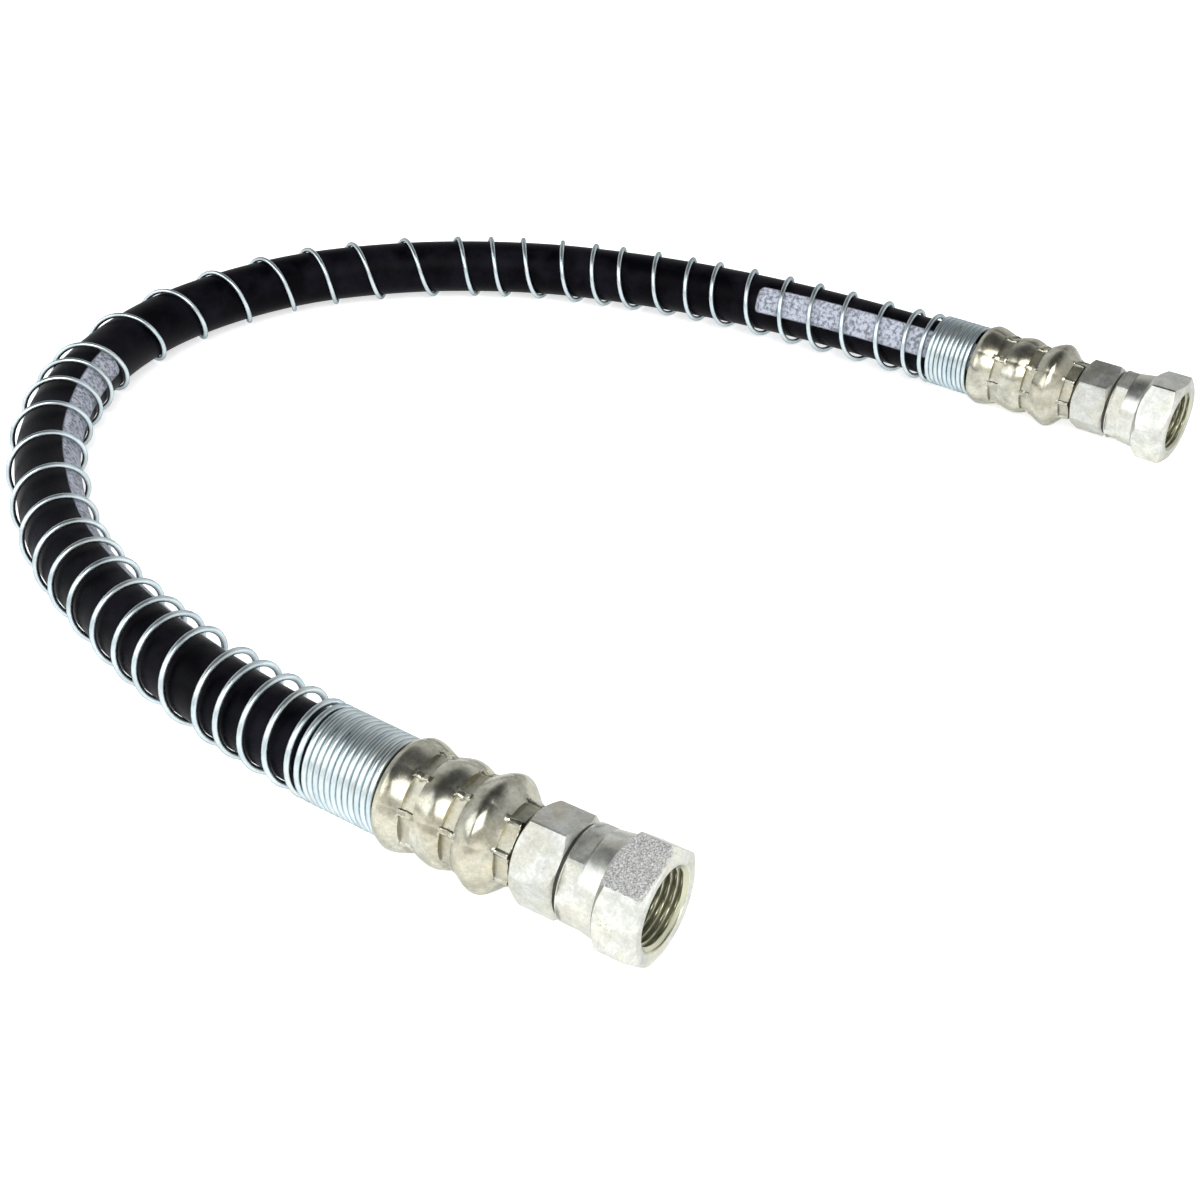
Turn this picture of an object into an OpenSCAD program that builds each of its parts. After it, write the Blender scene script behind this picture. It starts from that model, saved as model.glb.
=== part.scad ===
// Hydraulic hose assembly: a one-wire rubber hose in a coil spring guard,
// with a crimped fitting and a free-turning swivel nut at each end.
// Millimetres, +Z up. The origin is on the surface that the hose lies on,
// midway between the two end fittings. End A's fitting points along +X.

/* [Hose] */
// Bore of the hose's inner tube
hose_bore = 9.5; // [8:0.1:11]
// Wall of the rubber inner tube
tube_wall = 1.6; // [1.2:0.1:2]
// Thickness of the steel wire braid
braid_wall = 0.7; // [0.5:0.05:1]
// Wall of the rubber cover
cover_wall = 1.25; // [0.9:0.05:1.6]
// Length of hose held inside each ferrule
hose_grip = 23.8; // [20:0.2:24]
// Straight stretch of hose behind each ferrule
hose_lead = 18; // [14:1:22]

/* [Spring guard] */
// Diameter of the guard's wire
wire_d = 1.5; // [1.2:0.05:1.7]
// Gap between the hose and the inside of the guard
guard_gap = 0.15; // [0.15:0.05:0.6]
// Curls in the close-wound stretch at each end
end_curls = 8; // [5:1:9]
// Pitch of the close-wound curls
end_pitch = 2; // [1.95:0.05:2.15]

/* [Ferrules] */
// Length of a ferrule
ferrule_len = 29.4; // [29:0.2:33]
// Wall of a ferrule's sleeve before it is crimped
ferrule_wall = 2; // [1.8:0.1:2.5]
// Flare of the ferrule's mouth above the sleeve
mouth_flare = 0.5; // [0.2:0.1:0.8]
// Distance of the first bump from the mouth
bump_1_at = 1.8; // [1:0.2:3]
// Height of the first bump above the sleeve
bump_1_rise = 1.2; // [0.6:0.1:1.5]
// Distance of the first crimped groove from the mouth
groove_1_at = 7.4; // [6.4:0.2:8.4]
// Depth of the first crimped groove below the sleeve
groove_1_drop = 0.5; // [0.2:0.1:0.8]
// Distance of the second bump from the mouth
bump_2_at = 12.2; // [11:0.2:13.2]
// Height of the second bump above the sleeve
bump_2_rise = 0.6; // [0.3:0.1:1]
// Distance of the second crimped groove from the mouth
groove_2_at = 16.8; // [15.8:0.2:17.8]
// Depth of the second crimped groove below the sleeve
groove_2_drop = 0.8; // [0.2:0.1:0.9]
// Distance of the third bump from the mouth
bump_3_at = 22.4; // [21:0.2:23.4]
// Height of the third bump above the sleeve
bump_3_rise = 1.6; // [1.5:0.1:2]
// Length of the flats that the dies leave in a groove
groove_flat_len = 3.6; // [2.4:0.2:4.2]
// Length of the flats that the dies leave on the lip
lip_flat_len = 2.6; // [1.6:0.2:3]
// Depth of those flats
flat_depth = 0.25; // [0.15:0.05:0.35]
// Wall of the ferrule's lip round the stem
lip_wall = 2.6; // [2.2:0.1:3]
// Number of crimping dies, which is the number of flats
crimp_dies = 8; // [6:1:10]

/* [Stems] */
// Wall of the barbed tail inside the hose
stem_wall = 1.05; // [0.8:0.05:1.4]
// Height of the barbs above the tail
barb_rise = 0.35; // [0.2:0.05:0.5]
// Number of barbs
barbs = 6; // [4:1:8]
// Hexagon of the stem, across flats
stem_af = 18; // [17:0.5:20]
// Length of the stem's hexagon
stem_hex_len = 9.5; // [8:0.5:12]
// Radius of the groove that the ferrule's lip closes into
lock_groove_r = 5.4; // [5.2:0.1:6]
// Length of the shoulder that the nut pulls against
shoulder_len = 1.6; // [1.2:0.1:2.2]
// Height of the shoulder above the swivel neck
shoulder_rise = 0.9; // [0.6:0.1:1.2]
// Full angle of the sealing cone
cone_angle = 60; // [56:1:74]
// Angle of the stem hexagon's chamfers from its ends
stem_chamfer = 40; // [25:5:60]

/* [Swivel nuts] */
// Hexagon of the nut, across flats
nut_af = 22; // [21:0.5:24]
// Minor diameter of the nut's pipe thread
thread_minor_d = 14.95; // [14.5:0.05:15.3]
// Overall length of the nut
nut_len = 17.4; // [16.8:0.2:20]
// Length of the crimped collar at the back of the nut
collar_len = 4.1; // [3.6:0.1:4.6]
// Length of the round band between the collar and the hexagon
band_len = 4; // [3.5:0.1:5.5]
// Rise of the band above the collar
band_rise = 0.6; // [0.3:0.1:0.8]
// Depth of the crimped flats on the collar
collar_flat_depth = 0.35; // [0.2:0.05:0.5]
// Angle of the nut's front chamfer from its face
nut_front_chamfer = 30; // [20:5:45]
// Angle of the nut's back chamfer from a face square to the axis
nut_back_chamfer = 58; // [30:1:62]
// Depth of the countersink in the nut's mouth
sink_depth = 1; // [0.6:0.1:1.4]
// Length of the web that turns on the stem's neck
web_len = 3.5; // [3:0.1:4]
// Depth of the relief behind the thread
relief_depth = 0.7; // [0.5:0.1:0.9]
// Wall of the collar round the relief
collar_wall = 1.6; // [1.3:0.1:2]
// Radial clearance between the nut's web and the stem's neck
swivel_clearance = 0.08; // [0.03:0.01:0.1]
// End play of the nut on the stem
swivel_play = 0.3; // [0.3:0.05:0.6]

/* [Layout] */
// Place of end A's ferrule mouth along X
end_a_x = -43.4; // [-53.4:1:-33.4]
// Place of end A's ferrule mouth along Y
end_a_y = -119; // [-125:1:-113]
// Place of end B's ferrule mouth along X
end_b_x = -15; // [-25:1:-5]
// Place of end B's ferrule mouth along Y
end_b_y = 120.6; // [114.6:1:126.6]
// Direction of end B's fitting, from +X towards +Y
end_b_heading = -6.4; // [-12.4:1:-2.4]
// Turn of end A's nut about its axis
end_a_nut_turn = 44; // [0:1:60]
// Turn of end A's stem about its axis
end_a_stem_turn = 14; // [0:1:60]
// Turn of end B's nut about its axis
end_b_nut_turn = 27; // [0:1:60]
// Turn of end B's stem about its axis
end_b_stem_turn = 49; // [0:1:60]

/* [Hidden] */
$fn = 64;

// Hose radii, from the bore outwards
tube_r = hose_bore / 2;
braid_r = tube_r + tube_wall;
cover_r = braid_r + braid_wall;
hose_r = cover_r + cover_wall;

// Ferrule: radii, and its outer line as [distance from the mouth, radius] at each turn
sleeve_r = hose_r + ferrule_wall;
bump_3_r = sleeve_r + bump_3_rise;
groove_1_r = sleeve_r - groove_1_drop;
groove_2_r = sleeve_r - groove_2_drop;
lip_r = lock_groove_r + lip_wall;
lip_blend = 0.3;
ferrule_fit = 0.05;
hose_end_gap = 1.8;
lip_start = hose_grip + hose_end_gap;
lip_taper = 0.6;
ferrule_stations = [
    [0, sleeve_r + mouth_flare],
    [bump_1_at, sleeve_r + bump_1_rise],
    [groove_1_at, groove_1_r],
    [bump_2_at, sleeve_r + bump_2_rise],
    [groove_2_at, groove_2_r],
    [bump_3_at, bump_3_r],
    [ferrule_len - lip_flat_len, lip_r + lip_blend],
    [ferrule_len, lip_r]
];
wave_steps = 6;

// Stem, measured from the ferrule's mouth
tail_gap = 0.35;
tail_r = tube_r - tail_gap;
tail_start = 1.5;
tail_chamfer = 0.6;
tail_nose = 2;
stem_bore_r = tail_r - stem_wall;
lock_ring_rise = 1.2;
lock_ring_r = lock_groove_r + lock_ring_rise;
lock_ring_gap = 0.3;
lock_ring_start = hose_grip + lock_ring_gap;
lock_ring_end = lip_start - lock_ring_gap;
hex_gap = 0.9;
stem_hex_start = ferrule_len + hex_gap;
stem_hex_end = stem_hex_start + stem_hex_len;
stem_face_r = stem_af / 2;
shoulder_gap = 0.2;
shoulder_r = thread_minor_d / 2 - shoulder_gap;
neck_r = shoulder_r - shoulder_rise;
nut_gap = 0.9;
nut_start = stem_hex_end + nut_gap;
shoulder_start = nut_start + web_len + swivel_play;
cone_start = shoulder_start + shoulder_len;
cone_step = 0.4;
cone_base_r = shoulder_r - cone_step;
cone_tip_wall = 1.1;
cone_tip_r = stem_bore_r + cone_tip_wall;
cone_end = cone_start + (cone_base_r - cone_tip_r) / tan(cone_angle / 2);

// Nut, measured from the ferrule's mouth
nut_end = nut_start + nut_len;
web_end = nut_start + web_len;
thread_r = thread_minor_d / 2;
thread_start = cone_end + swivel_play;
sink_rise = 1;
sink_r = thread_r + sink_rise;
relief_r = thread_r + relief_depth;
collar_r = relief_r + collar_wall;
collar_end = nut_start + collar_len;
collar_edge = 0.4;
band_r = collar_r + band_rise;
hex_start = collar_end + band_len;
rim_inset = 0.5;
nut_rim_r = nut_af / 2 - rim_inset;

// Length by which one shape runs into or past another, so that they join or cut cleanly
overlap = 1;
// Amount turned off each corner of a hexagon
corner_trim = 0.3;

// Heights: the fittings lie on their third bump, the hose on the guard's wire
axis_z = bump_3_r;
curl_rings = 8;
curl_mid_r = hose_r + guard_gap + wire_d / 2;
curl_r = curl_mid_r / cos(180 / curl_rings);
bed_z = curl_mid_r + wire_d / 2;

// Route of the hose: x, y and how far it is lifted from bed height to axis height
route = [
    [-90.9, -116.5, 0.9], [-117.8, -111.3, 0.6], [-143.7, -103.2, 0.2],
    [-169.6, -92.3, 0], [-192.5, -77.4, 0], [-213.5, -59.5, 0], [-230.4, -37.7, 0],
    [-241.9, -13, 0], [-246.5, 14, 0], [-242.7, 40.9, 0], [-231.7, 65.8, 0],
    [-213.7, 86.7, 0], [-192.8, 102.7, 0], [-167.7, 115.2, 0.05],
    [-141.5, 121.8, 0.3], [-114.6, 125.2, 0.6], [-88.1, 125.8, 0.9], [-60.4, 125.1, 1]
];
mouth_a = [end_a_x, end_a_y, axis_z];
mouth_b = [end_b_x, end_b_y, axis_z];
out_a = [1, 0, 0];
out_b = [cos(end_b_heading), sin(end_b_heading), 0];
lead_a = mouth_a - hose_lead * out_a;
lead_b = mouth_b - hose_lead * out_b;
function lifted(p) = [p.x, p.y, bed_z + p.z * (axis_z - bed_z)];
knots = concat([lead_a], [for (p = route) lifted(p)], [lead_b]);
spans = len(knots) - 1;

// Tangents at the knots, and the smooth curve through them
function knot_tangent(i) =
    i == 0 ? -norm(knots[1] - knots[0]) * out_a :
    i == spans ? norm(knots[spans] - knots[spans - 1]) * out_b :
    (knots[i + 1] - knots[i - 1]) / 2;
function hermite(i, t) =
    (2 * t^3 - 3 * t^2 + 1) * knots[i] + (t^3 - 2 * t^2 + t) * knot_tangent(i)
    + (3 * t^2 - 2 * t^3) * knots[i + 1] + (t^3 - t^2) * knot_tangent(i + 1);
function curve_point(u) =
    let (i = min(spans - 1, floor(u))) hermite(i, u - i);

// Curve length at each of the fine steps, to walk the curve by distance
fine_steps = 6;
fine = [for (k = [0 : spans * fine_steps]) curve_point(k / fine_steps)];
function add_up(list, i = 0, sum = 0, out = []) =
    i == len(list) ? concat(out, [sum]) :
    add_up(list, i + 1, sum + list[i], concat(out, [sum]));
function sum(list) = add_up(list)[len(list)];
fine_length = add_up([for (k = [1 : len(fine) - 1]) norm(fine[k] - fine[k - 1])]);
curve_length = fine_length[len(fine_length) - 1];
free_length = curve_length + 2 * hose_lead;

// Tables that turn curve length into curve position, and back
walk_table = [for (k = [0 : len(fine) - 1]) [fine_length[k], k / fine_steps]];
length_table = [for (row = walk_table) [row[1], row[0]]];

// Point on the hose's centreline at a distance from end A's mouth
function walk(s) =
    s <= hose_lead ? mouth_a - s * out_a :
    s >= hose_lead + curve_length ? mouth_b - (free_length - s) * out_b :
    curve_point(lookup(s - hose_lead, walk_table));
function unit(v) = v / norm(v);
heading_step = 0.5;
function heading(s) = unit(walk(s + heading_step) - walk(s - heading_step));
function upright(d) = unit([0, 0, 1] - d.z * d);

// Rings of the hose: the straight ends, then three to each stretch of the route
hose_sides = 12;
rings_per_span = 3;
hose_stops = concat(
    [-hose_grip],
    [for (k = [0 : spans * rings_per_span])
        hose_lead + lookup(k / rings_per_span, length_table)],
    [free_length + hose_grip]
);
function hose_ring(s, r) =
    let (c = walk(s), d = heading(s), up = upright(d), side = cross(d, up))
    [for (j = [0 : hose_sides - 1])
        let (a = 360 * j / hose_sides) c + r * (cos(a) * up + sin(a) * side)];

// Faces of a tube of rings: quads cut into triangles, facing outwards
function wall_faces(rings, sides, first, flip) =
    [for (i = [0 : rings - 2], j = [0 : sides - 1], half = [0, 1])
        let (
            a = first + i * sides + j,
            b = first + i * sides + (j + 1) % sides,
            c = a + sides,
            d = b + sides,
            face = half == 0 ? [a, b, c] : [b, d, c]
        )
        flip ? [face[2], face[1], face[0]] : face];

// Flat ring at one end of a pipe, between its outer and inner ring of points
function rim_faces(outer, inner, sides, flip) =
    [for (j = [0 : sides - 1], half = [0, 1])
        let (
            k = (j + 1) % sides,
            face = half == 0 ? [outer + j, inner + j, outer + k]
                             : [outer + k, inner + j, inner + k]
        )
        flip ? [face[2], face[1], face[0]] : face];

// Spring guard: curls and length of each open zone, from end A's tight curls on
open_zones = [[2, 5], [4, 27], [6, 64.5], [6, 93.5], [2, 23.5], [6, 110.5], [2, 35]];
// Curls of the last open zone, which fills the rest of the length
last_curls = 15;
mitre_stretch = sqrt(2);
guard_end_gap = 0.6;
guard_start = wire_d + guard_end_gap;
end_zone = [end_curls, end_curls * end_pitch];
open_length = free_length - 2 * (guard_start + end_zone[1]);
last_zone = [last_curls, open_length - sum([for (z = open_zones) z[1]])];
zones = concat([end_zone], open_zones, [last_zone, end_zone]);
zone_curls = add_up([for (z = zones) z[0]]);
zone_ends = add_up([for (z = zones) z[1]]);
zone_table = [for (i = [0 : len(zones)]) [zone_curls[i], guard_start + zone_ends[i]]];
curls = zone_curls[len(zones)];
last_ring = curls * curl_rings;
function curl_distance(k) = lookup(k / curl_rings, zone_table);
function curl_angle(k) = 180 / curl_rings + k * 360 / curl_rings;
function outward(s, a) =
    let (d = heading(s), up = upright(d)) cos(a) * up + sin(a) * cross(d, up);
function around(s, a) = outward(s, a + 90);
function wire_point(k) =
    let (s = curl_distance(k)) walk(s) + curl_r * outward(s, curl_angle(k));
wire_points = [for (k = [0 : last_ring]) wire_point(k)];

// Rings of the wire: a stub square to each ferrule, mitred into the helix
wire_sides = 6;
function wire_ring(c, along, out, stretch = 1) =
    let (across = unit(cross(along, out)), rise = cross(across, along))
    [for (j = [0 : wire_sides - 1])
        let (a = 360 * (j + 0.5) / wire_sides)
        c + wire_d / 2 * (cos(a) * rise + stretch * sin(a) * across)];
function mitre_ring(k) =
    let (s = curl_distance(k), a = curl_angle(k))
    wire_ring(wire_points[k], unit(heading(s) + around(s, a)), outward(s, a),
        mitre_stretch);
function stub_ring(s, a) =
    wire_ring(walk(s) + curl_r * outward(s, a), heading(s), outward(s, a));
function helix_ring(k) =
    wire_ring(wire_points[k], unit(wire_points[k + 1] - wire_points[k - 1]),
        outward(curl_distance(k), curl_angle(k)));
guard_rings = concat(
    [stub_ring(0, curl_angle(0)), mitre_ring(0)],
    [for (k = [1 : last_ring - 1]) helix_ring(k)],
    [mitre_ring(last_ring), stub_ring(free_length, curl_angle(last_ring))]
);

// Least gap between one curl of the wire and the next, measured on its points
near_turn = [curl_rings - 3 : curl_rings + 3];
curl_gaps = [for (k = [0 : last_ring], m = near_turn)
    if (k + m <= last_ring) norm(wire_points[k + m] - wire_points[k]) - wire_d];
echo(least_gap_between_curls = min(curl_gaps), curls = curls);
echo(hose_length_between_ferrules = free_length);
echo(hose_length_overall = free_length + 2 * hose_grip);

// Place of a fitting: its axis runs out of the ferrule's mouth towards the nut
module at_end_a() {
    translate(mouth_a) rotate([0, 90, 0]) children();
}

module at_end_b() {
    translate(mouth_b) rotate([0, 0, end_b_heading]) rotate([0, 90, 0]) children();
}

// One layer of the hose: a pipe with a bore, swept along the route
module hose_layer(inner_r, outer_r) {
    rings = len(hose_stops);
    count = rings * hose_sides;
    outer = [for (s = hose_stops) each hose_ring(s, outer_r)];
    inner = [for (s = hose_stops) each hose_ring(s, inner_r)];
    far = (rings - 1) * hose_sides;
    polyhedron(
        points = concat(outer, inner),
        faces = concat(
            wall_faces(rings, hose_sides, 0, true),
            wall_faces(rings, hose_sides, count, false),
            rim_faces(0, count, hose_sides, true),
            rim_faces(far, count + far, hose_sides, false)
        ),
        convexity = 8
    );
}

module hose_inner_tube() {
    color("dimgray") hose_layer(tube_r, braid_r);
}

module hose_wire_braid() {
    color("goldenrod") hose_layer(braid_r, cover_r);
}

module hose_cover() {
    color([0.08, 0.08, 0.09]) hose_layer(cover_r, hose_r);
}

// One unbroken wire: tight curls at both ends, open curls between
module spring_guard() {
    rings = len(guard_rings);
    last = (rings - 1) * wire_sides;
    cap = [for (j = [1 : wire_sides - 2]) [0, j, j + 1]];
    color("lightsteelblue")
    polyhedron(
        points = [for (ring = guard_rings) each ring],
        faces = concat(
            wall_faces(rings, wire_sides, 0, true),
            cap,
            [for (f = cap) [last + f[2], last + f[1], last + f[0]]]
        ),
        convexity = 10
    );
}

// Ring of metal taken off outside a polygon, as a set of crimping dies leaves it
module crimp_cut(start, length, flat_r, turn = 0) {
    translate([0, 0, start])
    difference() {
        cylinder(r = bump_3_r + overlap, h = length);
        translate([0, 0, -overlap])
        rotate(turn)
        cylinder(
            r = flat_r / cos(180 / crimp_dies),
            h = length + 2 * overlap,
            $fn = crimp_dies
        );
    }
}

// Outer line of the ferrule: a smooth wave through its crests and grooves
function wave(i, t) =
    let (a = ferrule_stations[i], b = ferrule_stations[i + 1])
    [a[1] + (b[1] - a[1]) * (1 - cos(180 * t)) / 2, a[0] + (b[0] - a[0]) * t];
ferrule_line = concat(
    [for (i = [0 : len(ferrule_stations) - 2], k = [0 : wave_steps - 1])
        wave(i, k / wave_steps)],
    [[lip_r, ferrule_len]]
);

module ferrule() {
    hose_side_r = hose_r + ferrule_fit;
    stem_side_r = lock_groove_r + ferrule_fit;
    difference() {
        rotate_extrude()
        polygon(concat(ferrule_line, [
            [stem_side_r, ferrule_len],
            [stem_side_r, lip_start],
            [hose_side_r, lip_start - lip_taper],
            [hose_side_r, 0]
        ]));
        for (g = [[groove_1_at, groove_1_r], [groove_2_at, groove_2_r]])
            crimp_cut(g[0] - groove_flat_len / 2, groove_flat_len, g[1] - flat_depth);
        crimp_cut(ferrule_len - lip_flat_len, lip_flat_len + overlap, lip_r - flat_depth);
    }
}

// Hexagon with both ends chamfered, standing on the local XY plane
module chamfered_hex(af, length, front_r, front_angle, back_r, back_angle, turn) {
    hex_r = af / sqrt(3);
    blank_r = hex_r - corner_trim;
    front_len = (blank_r - front_r) * tan(front_angle);
    back_len = (blank_r - back_r) * tan(back_angle);
    intersection() {
        rotate(turn) cylinder(r = hex_r, h = length, $fn = 6);
        rotate_extrude()
        polygon([
            [0, 0], [back_r, 0], [blank_r, back_len],
            [blank_r, length - front_len], [front_r, length], [0, length]
        ]);
    }
}

// Barbs of the tail: each climbs slowly and drops back at once
barb_start = tail_start + tail_nose;
barb_pitch = (lock_ring_start - overlap - barb_start) / barbs;
barb_valley = 0.7;
barb_climb = barb_pitch - barb_valley;
barb_line = [for (i = [0 : barbs - 1], step = [0 : 2])
    let (x = barb_start + i * barb_pitch, drop = x + barb_climb)
    step == 0 ? [tail_r, x] : step == 1 ? [tail_r + barb_rise, drop] : [tail_r, drop]];

module stem(turn) {
    hex_core = stem_hex_start + overlap;
    difference() {
        union() {
            rotate_extrude()
            polygon(concat(
                [[0, tail_start], [tail_r - tail_chamfer, tail_start]],
                [[tail_r, tail_start + tail_chamfer]],
                barb_line,
                [
                    [tail_r, lock_ring_start], [lock_ring_r, lock_ring_start],
                    [lock_ring_r, lock_ring_end], [lock_groove_r, lock_ring_end],
                    [lock_groove_r, hex_core], [neck_r, hex_core],
                    [neck_r, shoulder_start], [shoulder_r, shoulder_start],
                    [shoulder_r, cone_start], [cone_base_r, cone_start],
                    [cone_tip_r, cone_end], [0, cone_end]
                ]
            ));
            translate([0, 0, stem_hex_start])
            chamfered_hex(stem_af, stem_hex_len, stem_face_r, stem_chamfer,
                stem_face_r, stem_chamfer, turn);
        }
        translate([0, 0, tail_start - overlap])
        cylinder(r = stem_bore_r, h = cone_end - tail_start + 2 * overlap);
    }
}

module swivel_nut(turn) {
    difference() {
        union() {
            rotate_extrude()
            polygon([
                [0, nut_start], [collar_r, nut_start], [collar_r, collar_end],
                [band_r, hex_start], [band_r, hex_start + overlap],
                [0, hex_start + overlap]
            ]);
            translate([0, 0, hex_start])
            chamfered_hex(nut_af, nut_end - hex_start, nut_rim_r, nut_front_chamfer,
                band_r, nut_back_chamfer, turn);
        }
        translate([0, 0, nut_start - overlap])
        cylinder(r = neck_r + swivel_clearance, h = web_len + 2 * overlap);
        translate([0, 0, web_end])
        cylinder(r = relief_r, h = thread_start - web_end);
        translate([0, 0, thread_start - overlap])
        cylinder(r = thread_r, h = nut_end - thread_start + 2 * overlap);
        translate([0, 0, nut_end - sink_depth])
        cylinder(r1 = thread_r, r2 = sink_r, h = sink_depth);
        crimp_cut(nut_start + collar_edge, collar_len - 2 * collar_edge,
            collar_r - collar_flat_depth, turn);
    }
}

module end_a_stem() {
    color("darkkhaki") at_end_a() stem(end_a_stem_turn);
}

module end_a_ferrule() {
    color("khaki") at_end_a() ferrule();
}

module end_a_swivel_nut() {
    color("silver") at_end_a() swivel_nut(end_a_nut_turn);
}

module end_b_stem() {
    color("darkkhaki") at_end_b() stem(end_b_stem_turn);
}

module end_b_ferrule() {
    color("khaki") at_end_b() ferrule();
}

module end_b_swivel_nut() {
    color("silver") at_end_b() swivel_nut(end_b_nut_turn);
}

hose_inner_tube();
hose_wire_braid();
hose_cover();
spring_guard();
end_a_stem();
end_a_ferrule();
end_a_swivel_nut();
end_b_stem();
end_b_ferrule();
end_b_swivel_nut();
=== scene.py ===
"""Hydraulic hose assembly: the finished surfaces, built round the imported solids."""
import math

import bpy
import numpy as np
from mathutils import Matrix, Vector


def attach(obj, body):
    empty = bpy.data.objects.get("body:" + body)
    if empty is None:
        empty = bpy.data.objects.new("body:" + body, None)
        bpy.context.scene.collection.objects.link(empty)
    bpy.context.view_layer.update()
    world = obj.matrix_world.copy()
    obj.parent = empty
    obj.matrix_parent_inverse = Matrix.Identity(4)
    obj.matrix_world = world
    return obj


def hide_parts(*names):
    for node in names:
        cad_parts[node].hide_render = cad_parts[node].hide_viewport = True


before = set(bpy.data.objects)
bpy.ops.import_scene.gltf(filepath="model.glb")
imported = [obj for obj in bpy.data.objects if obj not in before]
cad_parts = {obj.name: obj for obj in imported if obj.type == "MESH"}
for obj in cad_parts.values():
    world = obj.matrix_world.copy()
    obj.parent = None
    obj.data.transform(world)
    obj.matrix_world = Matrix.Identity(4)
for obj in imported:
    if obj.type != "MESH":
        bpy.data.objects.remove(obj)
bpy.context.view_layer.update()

MM = 0.001
scene = bpy.context.scene

# ---------------------------------------------------------------- camera

# Metres, degrees from straight down, degrees about the vertical, millimetres
CAMERA_AT = (0.10384, -0.28193, 0.20698)
CAMERA_TILT = 55.245
CAMERA_TURN = 32.285
CAMERA_LENS = 44.85


def set_camera():
    lens = bpy.data.cameras.new("camera")
    lens.lens = CAMERA_LENS
    lens.sensor_width = 36.0
    lens.clip_start = 0.01
    lens.clip_end = 20.0
    camera = bpy.data.objects.new("camera", lens)
    camera.location = CAMERA_AT
    camera.rotation_euler = (math.radians(CAMERA_TILT), 0, math.radians(CAMERA_TURN))
    scene.collection.objects.link(camera)
    scene.camera = camera


set_camera()

# ---------------------------------------------------------------- sizes, in millimetres

# Heights of the fittings' axes, and of the hose's where it lies on the guard's wire
AXIS_Z = 11.9
BED_Z = 9.95
# Mouths of the two ferrules, and the way that end B's fitting points, in degrees
MOUTH_A = np.array([-43.4, -119.0, AXIS_Z])
MOUTH_B = np.array([-15.0, 120.6, AXIS_Z])
HEADING_B = -6.4
# Straight hose at each mouth, and hose gripped inside each ferrule
LEAD = 18.0
GRIP = 23.8
# The hose's way from lead to lead, with its lift from the bed (0) to the axes (1)
ROUTE = [
    (-90.9, -116.5, 0.9), (-117.8, -111.3, 0.6), (-143.7, -103.2, 0.2), (-169.6, -92.3, 0),
    (-192.5, -77.4, 0), (-213.5, -59.5, 0), (-230.4, -37.7, 0), (-241.9, -13, 0),
    (-246.5, 14, 0), (-242.7, 40.9, 0), (-231.7, 65.8, 0), (-213.7, 86.7, 0),
    (-192.8, 102.7, 0), (-167.7, 115.2, 0.05), (-141.5, 121.8, 0.3), (-114.6, 125.2, 0.6),
    (-88.1, 125.8, 0.9), (-60.4, 125.1, 1),
]
# Outer radii of the cover, braid and liner, and the radius of the bore
HOSE_R, COVER_R, BRAID_R, TUBE_R = 8.3, 7.05, 6.35, 4.75
WIRE_R = 0.73

# ---------------------------------------------------------------- the hose's centreline

OUT_A = np.array([1.0, 0.0, 0.0])
OUT_B = np.array([math.cos(math.radians(HEADING_B)), math.sin(math.radians(HEADING_B)), 0])


def route_curve(samples=60):
    """Points of the smooth curve from one lead to the other, close together."""
    knots = [MOUTH_A - LEAD * OUT_A]
    knots += [np.array([x, y, BED_Z + lift * (AXIS_Z - BED_Z)]) for x, y, lift in ROUTE]
    knots += [MOUTH_B - LEAD * OUT_B]
    knots = np.array(knots)
    tangents = np.empty_like(knots)
    tangents[1:-1] = (knots[2:] - knots[:-2]) / 2
    tangents[0] = -np.linalg.norm(knots[1] - knots[0]) * OUT_A
    tangents[-1] = np.linalg.norm(knots[-1] - knots[-2]) * OUT_B
    t = np.linspace(0, 1, samples, endpoint=False)[:, None]
    spans = [
        (2 * t**3 - 3 * t**2 + 1) * knots[i] + (t**3 - 2 * t**2 + t) * tangents[i]
        + (3 * t**2 - 2 * t**3) * knots[i + 1] + (t**3 - t**2) * tangents[i + 1]
        for i in range(len(knots) - 1)
    ]
    return np.concatenate(spans + [knots[-1:]])


CURVE = route_curve()
CURVE_AT = LEAD + np.concatenate(
    [[0], np.cumsum(np.linalg.norm(np.diff(CURVE, axis=0), axis=1))]
)
FREE = CURVE_AT[-1] + LEAD


def centre(s):
    """Points on the hose's centreline at distances s from end A's ferrule mouth."""
    s = np.asarray(s, float)
    on_curve = np.stack([np.interp(s, CURVE_AT, CURVE[:, k]) for k in range(3)], -1)
    before = MOUTH_A - s[..., None] * OUT_A
    after = MOUTH_B - (FREE - s)[..., None] * OUT_B
    near_a, near_b = (s <= LEAD)[..., None], (s >= FREE - LEAD)[..., None]
    return np.where(near_a, before, np.where(near_b, after, on_curve))


def axes(s):
    """Directions along the hose, upwards from it, and to the inner side of its loop."""
    along = centre(np.asarray(s) + 0.5) - centre(np.asarray(s) - 0.5)
    along /= np.linalg.norm(along, axis=-1, keepdims=True)
    up = np.array([0, 0, 1.0]) - along[..., 2:] * along
    up /= np.linalg.norm(up, axis=-1, keepdims=True)
    return along, up, np.cross(along, up)


# ---------------------------------------------------------------- mesh helpers


def object_of(name, points, faces):
    """A new mesh object from points in millimetres."""
    mesh = bpy.data.meshes.new(name)
    mesh.from_pydata((np.asarray(points) * MM).tolist(), [], faces)
    mesh.validate()
    piece = bpy.data.objects.new(name, mesh)
    scene.collection.objects.link(piece)
    return piece


def set_values(piece, name, values):
    """Stores one number, or one vector, for each point of the mesh."""
    values = np.asarray(values, np.float32)
    kind = "FLOAT" if values.ndim == 1 else "FLOAT_VECTOR"
    layer = piece.data.attributes.new(name, kind, "POINT")
    layer.data.foreach_set("value" if values.ndim == 1 else "vector", values.ravel())


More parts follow.
